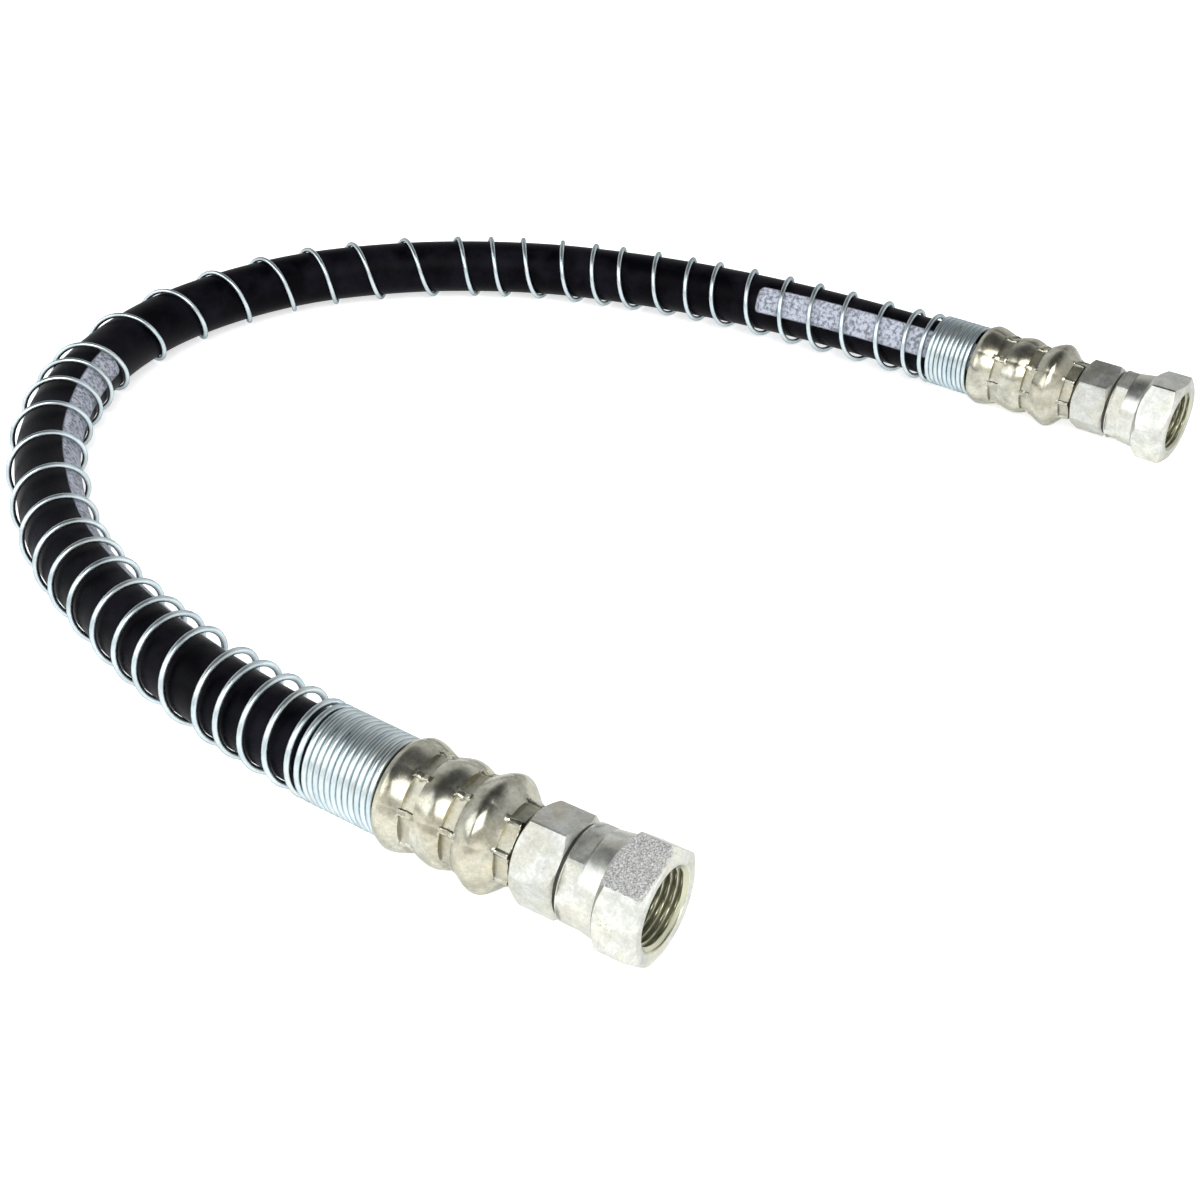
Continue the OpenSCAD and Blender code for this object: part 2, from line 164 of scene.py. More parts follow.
def ring_faces(rings, sides, first=0, inward=False):
    faces = []
    for i in range(rings - 1):
        for j in range(sides):
            a, b = first + i * sides + j, first + i * sides + (j + 1) % sides
            quad = (a, b, b + sides, a + sides)
            faces.append(quad[::-1] if inward else quad)
    return faces


def activate(piece):
    bpy.ops.object.select_all(action="DESELECT")
    piece.select_set(True)
    bpy.context.view_layer.objects.active = piece


def smooth(piece, angle):
    activate(piece)
    bpy.ops.object.shade_smooth_by_angle(angle=math.radians(angle))


# ---------------------------------------------------------------- the three layers of the hose

HOSE_SIDES = 64
LAYLINE_WIDTH = 8.4
# Places along the hose, and the angle up from the inner side where the layline runs
LAYLINE_PATH = [(0, 10), (60, 16), (110, 22), (165, 23.5), (200, 24), (225, 28.5), (240, 29),
                (300, 29), (480, 31), (558, 32)]
LAYLINE_RUNS = [(28, 232.0), (482.8, 600)]


def layline_distance(s, angle):
    """How far a point of the cover is from the middle of the layline, in millimetres,
    or far away where the hose has none."""
    at, where = np.array(LAYLINE_PATH).T
    middle = np.radians(np.interp(s, at, where))
    apart = (angle - middle + math.pi) % (2 * math.pi) - math.pi
    gap = HOSE_R * np.abs(apart)
    short = np.min([np.maximum(a - s, s - b) for a, b in LAYLINE_RUNS], axis=0)
    return np.maximum(gap, short + LAYLINE_WIDTH / 2)


def hose_layer(name, inner, outer, stop_gap=2.0):
    """A pipe from inside one ferrule to inside the other, along the centreline."""
    stops = np.linspace(-GRIP, FREE + GRIP, int((FREE + 2 * GRIP) / stop_gap))
    points, straight, layline = [], [], []
    angle = 2 * math.pi * np.arange(HOSE_SIDES) / HOSE_SIDES
    middle, (_, up, side) = centre(stops), axes(stops)
    for radius in (outer, inner):
        spoke = (np.cos(angle)[None, :, None] * side[:, None]
                 + np.sin(angle)[None, :, None] * up[:, None])
        points.append((middle[:, None] + radius * spoke).reshape(-1, 3))
        s, a = np.meshgrid(stops, angle, indexing="ij")
        straight.append(np.stack([s, radius * np.cos(a), radius * np.sin(a)], -1).reshape(-1, 3))
        layline.append(layline_distance(s, a).ravel())
    rings, count = len(stops), len(stops) * HOSE_SIDES
    faces = ring_faces(rings, HOSE_SIDES) + ring_faces(rings, HOSE_SIDES, count, True)
    for j in range(HOSE_SIDES):
        k, last = (j + 1) % HOSE_SIDES, count - HOSE_SIDES
        faces.append((j, j + count, k + count, k))
        faces.append((last + j, last + k, last + k + count, last + j + count))
    piece = object_of(name, np.concatenate(points), faces)
    set_values(piece, "straight", np.concatenate(straight) * MM)
    set_values(piece, "layline", np.concatenate(layline))
    smooth(piece, 40)
    return piece


# ---------------------------------------------------------------- the spring guard

# The close-wound ends: where their first turn crosses the top of the hose, pitch, turns
CLOSE_A = (0.14, 1.468, 12)
CLOSE_B = (543.45, 1.49, 11)
# Where the loose turns between them cross it
LOOSE_TURNS = [
    17.8, 19.8, 22.5, 29, 36, 43.5, 50.5, 62.5, 72, 80.5, 91, 103.5, 114.5, 125, 138.5, 155,
    173.5, 191.5, 207, 218.5, 229, 251, 272, 291, 308.5, 324.5, 339, 356.5, 374, 385, 396,
    409.5, 421, 430.5, 443, 455, 464.5, 477, 489.5, 500, 511.5, 524, 534, 540.4,
]
# Turns at which the wire starts and ends, counted from the second of end A's
GUARD_FROM, GUARD_TO = -0.55, 63.7
# Place along the hose, the turns' radius, how far they sit up and to the inner side of the
# hose's centreline, and how far the top and the inner side of a turn lean along the hose
GUARD_LIE = np.array([
    (0, 9.55, 0, 0, 0, 0), (19, 9.7, 0.25, 0.35, 0, 0), (30, 9.9, 0.4, 0.6, -0.5, -0.25),
    (60, 9.9, 0.4, 0.6, -0.75, 0.45), (95, 9.65, 0.2, 0.4, -1.2, 0.25),
    (130, 9.45, 0.3, 0.1, -0.3, -0.1), (165, 9.6, 0.2, 0, -0.5, 0.4),
    (200, 9.6, 0.4, -0.2, -1, 0.1), (235, 9.5, 0.3, 0, -0.45, -0.2),
    (265, 9.2, 0, 0, -0.1, -0.3), (300, 9.15, 0, 0, 0.1, -0.5), (360, 9.15, 0, 0, 0.35, 0.05),
    (420, 9.3, -0.1, 0.1, 0.05, 0.15), (470, 9.3, -0.15, 0, 0.4, 0.2),
    (500, 9.6, -0.3, 0.3, 0.15, 0.05), (528, 9.4, -0.2, 0.25, -0.4, -0.4),
    (544, 9.6, 0.15, -0.05, 0, 0), (558.5, 9.6, 0.1, 0, 0, 0),
])
WIRE_POINTS = 40
WIRE_SIDES = 12
GAP = 0.03


def smooth_line(xs, ys, x):
    """A curve through the points that never overshoots them."""
    h, d = np.diff(xs), np.diff(ys) / np.diff(xs)
    slope = np.empty(len(xs))
    slope[0], slope[-1] = d[0], d[-1]
    w1, w2 = 2 * h[1:] + h[:-1], h[1:] + 2 * h[:-1]
    slope[1:-1] = (w1 + w2) / (w1 / d[:-1] + w2 / d[1:])
    i = np.clip(np.searchsorted(xs, x, side="right") - 1, 0, len(xs) - 2)
    t = (x - xs[i]) / h[i]
    return ((1 + 2 * t) * (1 - t)**2 * ys[i] + t * (1 - t)**2 * h[i] * slope[i]
            + t**2 * (3 - 2 * t) * ys[i + 1] + t**2 * (t - 1) * h[i] * slope[i + 1])


def wound(first, pitch, turns):
    return [first + pitch * turn for turn in range(turns)]


def spring_guard():
    """One wire: close-wound turns at both ends, resting open turns between them."""
    tops = np.array(wound(*CLOSE_A) + LOOSE_TURNS + wound(*CLOSE_B))
    whole = np.arange(len(tops)) - 1.0
    k = np.linspace(GUARD_FROM, GUARD_TO, int((GUARD_TO - GUARD_FROM) * WIRE_POINTS) + 1)
    angle = 2 * math.pi * k
    s = smooth_line(whole, tops, k)
    radius, lift, inward, lean_up, lean_in = [
        np.interp(s, GUARD_LIE[:, 0], column) for column in GUARD_LIE[:, 1:].T]
    s = s + lean_up * np.cos(angle) + lean_in * np.sin(angle)
    _, up, side = axes(s)
    middle = centre(s)
    lift = np.maximum(lift, radius + WIRE_R + GAP - middle[:, 2])
    room = np.sqrt(np.maximum((radius - WIRE_R - GAP - HOSE_R)**2 - lift**2, 0))
    inward = np.clip(inward, -room, room)
    middle = middle + lift[:, None] * up + inward[:, None] * side
    spoke = np.cos(angle)[:, None] * up + np.sin(angle)[:, None] * side
    line = middle + radius[:, None] * spoke
    along = np.gradient(line, axis=0)
    along /= np.linalg.norm(along, axis=1, keepdims=True)
    across = np.cross(along, spoke)
    across /= np.linalg.norm(across, axis=1, keepdims=True)
    rise = np.cross(across, along)
    round_wire = 2 * math.pi * np.arange(WIRE_SIDES) / WIRE_SIDES
    points = (line[:, None]
              + WIRE_R * (np.cos(round_wire)[None, :, None] * rise[:, None]
                          + np.sin(round_wire)[None, :, None] * across[:, None]))
    faces = ring_faces(len(k), WIRE_SIDES)
    last = (len(k) - 1) * WIRE_SIDES
    faces += [tuple(range(WIRE_SIDES))[::-1], tuple(last + j for j in range(WIRE_SIDES))]
    piece = object_of("spring_guard_wire", points.reshape(-1, 3), faces)
    run = np.concatenate([[0], np.cumsum(np.linalg.norm(np.diff(line, axis=0), axis=1))])
    drawn = np.stack(np.broadcast_arrays(
        run[:, None], WIRE_R * np.cos(round_wire)[None], WIRE_R * np.sin(round_wire)[None]), -1)
    set_values(piece, "drawn", drawn.reshape(-1, 3) * MM)
    smooth(piece, 50)
    return piece


# ---------------------------------------------------------------- turned metal


def turned(name, section, steps):
    """A closed half section, drawn as (distance from the ferrule's mouth, radius) in
    millimetres, spun about X."""
    bpy.ops.object.select_all(action="DESELECT")
    bpy.ops.mesh.primitive_plane_add(size=MM)
    piece = bpy.context.object
    piece.name = piece.data.name = name
    bpy.ops.object.mode_set(mode="EDIT")
    bpy.ops.mesh.select_mode(type="VERT")
    bpy.ops.mesh.merge(type="CENTER")
    at, radius = section[0]
    bpy.ops.transform.translate(value=(at * MM, 0, radius * MM))
    for next_at, next_radius in section[1:] + section[:1]:
        step = ((next_at - at) * MM, 0, (next_radius - radius) * MM)
        bpy.ops.mesh.extrude_region_move(TRANSFORM_OT_translate={"value": step})
        at, radius = next_at, next_radius
    bpy.ops.mesh.select_all(action="SELECT")
    bpy.ops.mesh.remove_doubles(threshold=0.002 * MM)
    bpy.ops.mesh.spin(steps=steps, angle=2 * math.pi, center=(0, 0, 0), axis=(1, 0, 0))
    bpy.ops.mesh.select_all(action="SELECT")
    bpy.ops.mesh.remove_doubles(threshold=0.002 * MM)
    bpy.ops.mesh.normals_make_consistent(inside=False)
    bpy.ops.object.mode_set(mode="OBJECT")
    return piece


def polar(piece):
    """Distance along the axis, angle up from the -Y side, and radius of each point."""
    co = np.empty(len(piece.data.vertices) * 3)
    piece.data.vertices.foreach_get("co", co)
    x, y, z = (co.reshape(-1, 3) / MM).T
    return x, np.arctan2(z, -y), np.hypot(y, z)


def set_polar(piece, at, angle, radius):
    co = np.stack([at, -radius * np.cos(angle), radius * np.sin(angle)], -1) * MM
    piece.data.vertices.foreach_set("co", co.ravel())
    piece.data.update()


def off_middle(angle, count, turn=0.0):
    """Angle from the middle of the nearest of count equal facets."""
    part = 2 * math.pi / count
    return (angle - math.radians(turn) + part / 2) % part - part / 2


# How far a hexagon's softened edges reach
EDGE = 0.12


def hexagon_stations(start, end, blank_r):
    """Rings of the turned blank that are later laid along the hexagon's edges."""
    places = np.linspace(start, end, 8)[1:-1]
    return [(round(float(x), 4), blank_r) for x in places]


def mill_hexagon(piece, start, end, blank_r, flat_r, back, front):
    """Lays the blank's rings along the edges between the flats and the two chamfers.
    back and front are (radius, slope) of each chamfer at the hexagon's ends."""
    at, angle, radius = polar(piece)
    reach = np.minimum(flat_r / np.cos(off_middle(angle, 6, 30)), blank_r)
    back_at = start + (reach - back[0]) * back[1]
    front_at = end - (reach - front[0]) * front[1]
    for number, (place, _) in enumerate(hexagon_stations(start, end, blank_r)):
        ring = (np.abs(at - place) < 0.01) & (np.abs(radius - blank_r) < 0.01)
        r, b, f = reach[ring], back_at[ring], front_at[ring]
        room = np.minimum(EDGE, 0.45 * (r - back[0]))
        lip = np.minimum(EDGE, 0.45 * (r - front[0]))
        at[ring], radius[ring] = [
            (b - room * back[1], r - room), (b + 0.02, r - 0.12 * room), (b + EDGE, r),
            (f - EDGE, r), (f - 0.02, r - 0.12 * lip), (f + lip * front[1], r - lip),
        ][number]
    set_polar(piece, at, angle, radius)


# ---------------------------------------------------------------- ferrules

FERRULE_LEN = 29.4
# The lip that locks into the stem's groove: where it starts, and its bore
LIP_FROM = 25.0
LIP_BORE_R = 5.45
# Places along the ferrule, from its mouth, and the outer radius there
CRESTS_AND_GROOVES = [(0, 10.8), (1.8, 11.5), (7.4, 9.8), (12.2, 10.9), (16.8, 9.5),
                      (22.4, 11.9), (26.8, 8.3), (29.4, 8.0)]
# Start, end and radius of the flats that the crimping dies press
DIE_LANDS = [(6.1, 8.7, 9.45), (15.5, 18.1, 9.15), (26.6, 29.3, 7.75)]
DIES = 8
DIE_TURN = 49.5
# The seams between the dies: degrees from their middle to their foot, degrees of slope,
# height over the lands, and reach and height of their tips on the bumps
SEAM_FOOT = 4.3
SEAM_SLOPE = 1.3
SEAM_HEIGHT = 0.48
SEAM_REACH = 0.7
SEAM_TIP = 0.4


def bulged(table, s):
    """A radius that swings from one row of the table to the next, with full crests and
    sharp grooves."""
    xs, ys = np.array(table, float).T
    i = np.clip(np.searchsorted(xs, s, side="right") - 1, 0, len(xs) - 2)
    t = np.clip((s - xs[i]) / (xs[i + 1] - xs[i]), 0, 1)
    off = np.where(ys[i] > ys[i + 1], t, 1 - t)
    full = 0.5 * (1 - off**2) + 0.5 * (1 - off)**2 * (1 + 2 * off)
    return np.minimum(ys[i], ys[i + 1]) + np.abs(ys[i + 1] - ys[i]) * full


def ferrule_section():
    wall_r = HOSE_R + 0.05
    line = [(0.0, wall_r + 0.3), (0.0, 10.5), (0.12, 10.7)]
    special = [x + d for a, b, _ in DIE_LANDS for x in (a, b) for d in (-0.14, 0.0)]
    at = np.concatenate([np.arange(0.3, FERRULE_LEN - 0.25, 0.25), special])
    at = np.unique(np.round(at, 3))
    at = at[(at > 0.2) & (at < FERRULE_LEN - 0.2)]
    line += [(float(x), float(bulged(CRESTS_AND_GROOVES, x))) for x in at]
    line += [(FERRULE_LEN - 0.15, 7.98), (FERRULE_LEN, 7.8), (FERRULE_LEN, LIP_BORE_R + 0.15),
             (FERRULE_LEN - 0.15, LIP_BORE_R), (LIP_FROM + 0.6, LIP_BORE_R), (LIP_FROM, wall_r),
             (0.3, wall_r)]
    return line


def crimp_ferrule(piece):
    """Presses the eight dies' lands in the grooves and round the lip, and raises the
    seams that the dies leave between them."""
    at, angle, radius = polar(piece)
    outside = radius > np.where(at > LIP_FROM, LIP_BORE_R + 0.25, HOSE_R + 0.6)
    off = off_middle(angle, DIES, DIE_TURN)
    die = np.floor((angle - math.radians(DIE_TURN)) / (2 * math.pi / DIES) + 0.5)
    edge = math.pi / DIES - np.abs(off)
    # the bumps swell a little in the middle of each die
    lobes = 0.24 * (1 - (off / (math.pi / DIES))**2) - 0.14
    body = np.clip((at - 0.2) / 1.2, 0, 1) * np.clip((25.5 - at) / 1.5, 0, 1)
    radius = np.where(outside, radius + lobes * body, radius)
    pressed_at = np.zeros(len(at), bool)
    for number, (start, end, land_r) in enumerate(DIE_LANDS):
        # each seam strays its own way, and has its own height
        shift = math.radians(1.5) * np.sin(2.1 * die + 1.7 * number)
        floor_r = land_r / np.cos(off)
        apart = np.degrees(np.minimum(edge, np.abs(edge + shift)))
        crown = 1 - 0.02 * np.minimum(apart, 3)**2
        seam = np.clip((SEAM_FOOT - apart) / SEAM_SLOPE, 0, 1) * crown
        height = SEAM_HEIGHT + 0.14 * np.sin(3.3 * die + number)
        land = floor_r + height * seam
        inside = (at > start - 0.01) & (at < end + 0.01) & outside
        if number == len(DIE_LANDS) - 1:
            inside = (at > start - 0.01) & outside & (at < FERRULE_LEN - 0.1)
        radius = np.where(inside, np.minimum(land, radius + 0.45 * seam), radius)
        near = np.clip(1 - np.maximum(start - at, at - end) / SEAM_REACH, 0, 1)
        beside = outside & ~inside & (near > 0) & (at < FERRULE_LEN - 0.1)
        radius = np.where(beside, radius + SEAM_TIP * seam * near, radius)
        pressed_at |= inside & (seam < 0.5)
    set_polar(piece, at, angle, radius)
    set_values(piece, "pressed", pressed_at.astype(float))


# ---------------------------------------------------------------- stems

# Start and end of the hexagon along the fitting; _R is a radius, for a flat its distance
# from the axis
STEM_HEX = (30.3, 39.8)
STEM_FLAT_R = 9.0
STEM_BLANK_R = 10.265
STEM_SLOPE = math.tan(math.radians(36))
STEM_BORE_R = 3.35
STEM_TAIL_R = 4.4
STEM_NECK_R = 6.375
STEM_SHOULDER_R = 7.275
# The barbs that hold the liner: how many, over what length, and the plain part after each
BARBS = 6
BARBS_FROM, BARBS_TO = 3.5, 23.1
BARB_LAND = 0.7


def stem_section():
    bore_r, tail_r, neck_r, shoulder_r = STEM_BORE_R, STEM_TAIL_R, STEM_NECK_R, STEM_SHOULDER_R
    barbs, pitch = [], (BARBS_TO - BARBS_FROM) / BARBS
    climb = pitch - BARB_LAND
    for i in range(BARBS):
        x = BARBS_FROM + i * pitch
        barbs += [(x, tail_r), (x + climb, TUBE_R), (x + climb + 0.05, tail_r)]
    start, end = STEM_HEX
    return (
        [(1.5, bore_r), (1.5, 3.8), (2.1, tail_r)] + barbs
        + [(24.1, tail_r), (24.1, 6.6), (25.3, 6.6), (25.3, 5.4), (start, 5.4), (start, 8.97)]
        + hexagon_stations(start, end, STEM_BLANK_R)
        + [(end, 8.97), (end, neck_r), (44.5, neck_r), (44.5, 7.0), (44.6, shoulder_r),
           (46.0, shoulder_r), (46.1, 7.15), (46.1, 6.875), (50.2, 4.5), (50.3, 4.35),
           (50.3, 3.45), (50.2, bore_r)]
    )


# ---------------------------------------------------------------- swivel nuts

NUT_FLAT_R = 11.0
NUT_BLANK_R = 12.546
NUT_HEX = (48.8, 58.1)
# Radius and slope of the chamfers
NUT_BACK = (10.375, math.tan(math.radians(38)))
NUT_FRONT = (10.5, math.tan(math.radians(30)))
THREAD_PITCH = 1.337
THREAD_MINOR_R, THREAD_MAJOR_R = 7.475, 8.33
THREAD_START = 50.6
SINK_R = 8.475
NUT_STEPS = 288
COLLAR_R = 9.775
NECK_BORE_R = 6.455
CAVITY_R = 8.175
# Start, end and radius of the flats that close the collar, and their turn in degrees
COLLAR_LAND = (41.15, 44.35, 9.2)
COLLAR_TURN = -14.0


def nut_section():
    start, end = NUT_HEX
    line = [(40.7, 6.6), (40.7, 9.45), (40.8, 9.66), (40.95, COLLAR_R)]
    line += [(x, COLLAR_R) for x in (41.05, 41.15, 42.2, 43.3, 44.35, 44.45, 44.75)]
    line += [(44.85, 9.80), (46.8, 10.08), (48.7, 10.36), (start, 10.375)]
    line += hexagon_stations(start, end, NUT_BLANK_R)
    line += [(end - 0.03, 10.42), (end, 10.3), (end, SINK_R + 0.1), (end - 0.06, SINK_R)]
    count = int((end - THREAD_START) / 0.11)
    for x in np.linspace(end - 0.12, THREAD_START, count):
        line.append((round(float(x), 4), round(max(THREAD_MINOR_R, SINK_R - (end - float(x))), 4)))
    line += [(THREAD_START - 0.05, CAVITY_R), (44.25, CAVITY_R), (44.2, 8.12), (44.2, 6.5),
             (44.15, NECK_BORE_R), (40.8, NECK_BORE_R)]
    return line


def cut_thread(piece):
    """A right-handed pipe thread from the relief out through the countersink."""
    at, angle, radius = polar(piece)
    bore = (at > THREAD_START - 0.01) & (radius < SINK_R + 0.01)
    turn = (math.pi - angle) / (2 * math.pi)
    wave = np.sin(2 * math.pi * (at / THREAD_PITCH - turn))
    groove = 0.5 + np.arcsin(0.94 * wave) / (2 * math.asin(0.94))
    fade = np.clip((at - THREAD_START) / 0.8, 0, 1)
    thread = THREAD_MINOR_R + (THREAD_MAJOR_R - THREAD_MINOR_R) * groove * (0.8 + 0.2 * fade)
    radius = np.where(bore, np.maximum(radius, thread), radius)
    set_polar(piece, at, angle, radius)


def crimp_collar(piece):
    """The eight flats that close the collar over the stem's shoulder."""
    at, angle, radius = polar(piece)
    start, end, land_r = COLLAR_LAND
    land = land_r / np.cos(off_middle(angle, DIES, COLLAR_TURN))
    ring = (at > start - 0.01) & (at < end + 0.01) & (radius > COLLAR_R - 0.075)
    radius = np.where(ring, np.minimum(radius, land), radius)
    set_polar(piece, at, angle, radius)
    set_values(piece, "pressed", ring.astype(float))


# ---------------------------------------------------------------- placing the fittings


def draw_out(piece, reach):
    """Lengthens the mouth end of a ferrule, as a harder crimp does."""
    at, angle, radius = polar(piece)
    set_polar(piece, at - reach * np.clip(1 - at / 14, 0, 1)**2, angle, radius)


def mark_surfaces(piece):
    """Marks one of the hexagon's six sides, from its back chamfer to its front, and the
    inside of the thread."""
    at, angle, radius = polar(piece)
    off = np.abs((angle - math.radians(30) + math.pi) % (2 * math.pi) - math.pi)
    inside = (off < math.radians(29)) & (at > NUT_HEX[0] - 0.01) & (at < NUT_HEX[1] - 0.05)
    set_values(piece, "coarse", (inside & (radius > 10.37)).astype(float))
    set_values(piece, "bore", ((radius < SINK_R - 0.025) & (at > 44)).astype(float))


def place_at(piece, name, turn, mouth, heading, reach=0):
    """A copy of a fitting's piece, drawn out by its reach, turned about its axis and set
    at a ferrule's mouth."""
    placed = bpy.data.objects.new(name, piece.data.copy())
    placed.data.name = name
    scene.collection.objects.link(placed)
    if reach:
        draw_out(placed, reach)
    co = np.empty(len(placed.data.vertices) * 3, np.float32)
    placed.data.vertices.foreach_get("co", co)
    set_values(placed, "place", co.reshape(-1, 3))
    placed.matrix_world = (
        Matrix.Translation(Vector(mouth * MM))
        @ Matrix.Rotation(math.radians(heading), 4, "Z")
        @ Matrix.Rotation(math.radians(-turn), 4, "X")
    )
    activate(placed)
    bpy.ops.object.transform_apply(location=True, rotation=True, scale=True)
    return placed


# ---------------------------------------------------------------- shader helpers


def nodes_of(tree):
    """Shorthand to add a node with its settings, and to join sockets."""
    def add(kind, **settings):
        node = tree.nodes.new(kind)
        for key, value in settings.items():
            setattr(node, key, value)
        return node

    def join(out, into):
        tree.links.new(out, into)

    return add, join


def feed(join, into, value):
    """Gives a socket a constant, or joins another socket to it."""
    if isinstance(value, bpy.types.NodeSocket):
        join(value, into)
    else:
        into.default_value = value


def noise(add, join, place, scale, detail, roughness=0.5, distortion=0.0):
    node = add("ShaderNodeTexNoise")
    feed(join, node.inputs["Vector"], place)
    feed(join, node.inputs["Scale"], scale)
    node.inputs["Detail"].default_value = detail
    node.inputs["Roughness"].default_value = roughness
    node.inputs["Distortion"].default_value = distortion
    return node.outputs["Fac"]


def mapped(add, join, value, low, high, to_low=0.0, to_high=1.0, clamp=True):
    """The value spread from low and high to the two others, and held between them
    where clamp says so."""
    node = add("ShaderNodeMapRange", clamp=clamp)
    limits = {"From Min": low, "From Max": high, "To Min": to_low, "To Max": to_high}
    for key, limit in limits.items():
        node.inputs[key].default_value = limit
    join(value, node.inputs["Value"])
    return node.outputs["Result"]


def times(add, join, a, b):
    node = add("ShaderNodeMath", operation="MULTIPLY")
    feed(join, node.inputs[0], a)
    feed(join, node.inputs[1], b)
    return node.outputs["Value"]


def mixed(add, join, factor, a, b, kind="RGBA", blend="MIX"):
    """Mixes two colours or values, each a socket or a constant."""
    node = add("ShaderNodeMix", data_type=kind)
    if kind == "RGBA":
        node.blend_type = blend
    for key, value in (("Factor", factor), ("A", a), ("B", b)):
        feed(join, node.inputs[key], value)
    return node.outputs["Result"]


def summed(add, join, terms):
    """A sum of sockets, each times a number or another socket."""
    total = None
    for socket, weight in terms:
        part = add("ShaderNodeMath", operation="MULTIPLY_ADD")
        join(socket, part.inputs[0])
        feed(join, part.inputs[1], weight)
        if total is None:
            part.inputs[2].default_value = 0.0
        else:
            join(total, part.inputs[2])
        total = part.outputs["Value"]
    return total


def new_group(name, inputs, outputs):
    """A shader node group with its sockets made, and its input and output nodes."""
    tree = bpy.data.node_groups.new(name, "ShaderNodeTree")
    for title, kind, default in inputs:
        socket = tree.interface.new_socket(name=title, in_out="INPUT", socket_type=kind)
        if default is not None:
            socket.default_value = default
    for title, kind in outputs:
        tree.interface.new_socket(name=title, in_out="OUTPUT", socket_type=kind)
    add, join = nodes_of(tree)
    return tree, add, join, add("NodeGroupInput"), add("NodeGroupOutput")


FLOAT, COLOUR, VECTOR = "NodeSocketFloat", "NodeSocketColor", "NodeSocketVector"


def make_plating_tone():
    """Zinc plating: two tones in soft patches, with a yellow passivated tint over some."""
    tree, add, join, given, result = new_group(
        "plating_tone",
        [("Place", VECTOR, None), ("Patch Size", FLOAT, 250.0), ("Light", COLOUR, None),
         ("Dark", COLOUR, None), ("Tint", COLOUR, None), ("Tint Amount", FLOAT, 0.5)],
        [("Color", COLOUR), ("Patch", FLOAT)],
    )
    place, size = given.outputs["Place"], given.outputs["Patch Size"]
    patch = mapped(add, join, noise(add, join, place, size, 5.0, 0.62), 0.36, 0.64)
    tones = mixed(add, join, patch, given.outputs["Dark"], given.outputs["Light"])
    film = noise(add, join, place, times(add, join, size, 0.45), 2.0, distortion=0.8)
    tinted = mapped(add, join, film, 0.45, 0.68)
    amount = times(add, join, tinted, given.outputs["Tint Amount"])
    join(mixed(add, join, amount, tones, given.outputs["Tint"]), result.inputs["Color"])
    join(patch, result.inputs["Patch"])
    return tree


def make_drawn_marks():
    """Fine lines that tools leave: noise stretched by the given scale of each axis."""
    tree, add, join, given, result = new_group(
        "drawn_marks",
        [("Place", VECTOR, None), ("Stretch", VECTOR, (1.0, 1.0, 1.0)), ("Fineness", FLOAT, 900.0)],
        [("Height", FLOAT)],
    )
    stretch = add("ShaderNodeVectorMath", operation="MULTIPLY")
    join(given.outputs["Place"], stretch.inputs[0])
    join(given.outputs["Stretch"], stretch.inputs[1])
    lines = noise(add, join, stretch.outputs["Vector"], given.outputs["Fineness"], 4.0, 0.7)
    join(lines, result.inputs["Height"])
    return tree


def make_pits():
    """Small uneven specks, gathered in some places and missing from others."""
    tree, add, join, given, result = new_group(
        "pits",
        [("Place", VECTOR, None), ("Fineness", FLOAT, 2600.0), ("Amount", FLOAT, 0.5)],
        [("Mask", FLOAT)],
    )
    place = given.outputs["Place"]
    specks = noise(add, join, place, given.outputs["Fineness"], 3.0)
    gathered = noise(add, join, place, 260.0, 3.0)
    pits = times(add, join, mapped(add, join, specks, 0.62, 0.72),
                 mapped(add, join, gathered, 0.5, 0.62))
    join(times(add, join, pits, given.outputs["Amount"]), result.inputs["Mask"])
    return tree


def make_scuffs():
    """Fine handling scuffs, which mottle the colour."""
    tree, add, join, given, result = new_group(
        "scuffs",
        [("Place", VECTOR, None), ("Fineness", FLOAT, 1500.0), ("Color", COLOUR, None)],
        [("Color", COLOUR), ("Height", FLOAT)],
    )
    scuffs = noise(add, join, given.outputs["Place"], given.outputs["Fineness"], 4.0, 0.7, 0.6)
    shade = mapped(add, join, scuffs, 0.35, 0.65, 0.84, 1.06)
    mottled = mixed(add, join, 1.0, given.outputs["Color"], shade, blend="MULTIPLY")
    join(mottled, result.inputs["Color"])
    join(scuffs, result.inputs["Height"])
    return tree


def make_wound_threads():
    """Two sets of threads or wires wound on the hose. Each set has its number round the
    hose, and how fast it climbs along the hose."""
    tree, add, join, given, result = new_group(
        "wound_threads",
        [("Place", VECTOR, None), ("Round One", FLOAT, 36.0), ("Climb One", FLOAT, 900.0),
         ("Round Two", FLOAT, 36.0), ("Climb Two", FLOAT, -900.0)],
        [("Height", FLOAT)],
    )
    parts = add("ShaderNodeSeparateXYZ")
    join(given.outputs["Place"], parts.inputs["Vector"])
    turn = add("ShaderNodeMath", operation="ARCTAN2")
    join(parts.outputs["Z"], turn.inputs[0])
    join(parts.outputs["Y"], turn.inputs[1])
    waves = []
    for number in ("One", "Two"):
        phase = summed(add, join, [(turn.outputs["Value"], given.outputs["Round " + number]),
                                   (parts.outputs["X"], given.outputs["Climb " + number])])
        wave = add("ShaderNodeMath", operation="SINE")
        join(phase, wave.inputs[0])
        waves.append((wave.outputs["Value"], 0.5))
    join(summed(add, join, waves), result.inputs["Height"])
    return tree


PLATING_TONE = make_plating_tone()
DRAWN_MARKS = make_drawn_marks()
PITS = make_pits()
SCUFFS = make_scuffs()
WOUND_THREADS = make_wound_threads()


def placed_group(add, join, place, tree, **values):
    node = add("ShaderNodeGroup", node_tree=tree)
    join(place, node.inputs["Place"])
    for key, value in values.items():
        node.inputs[key.replace("_", " ")].default_value = value
    return node


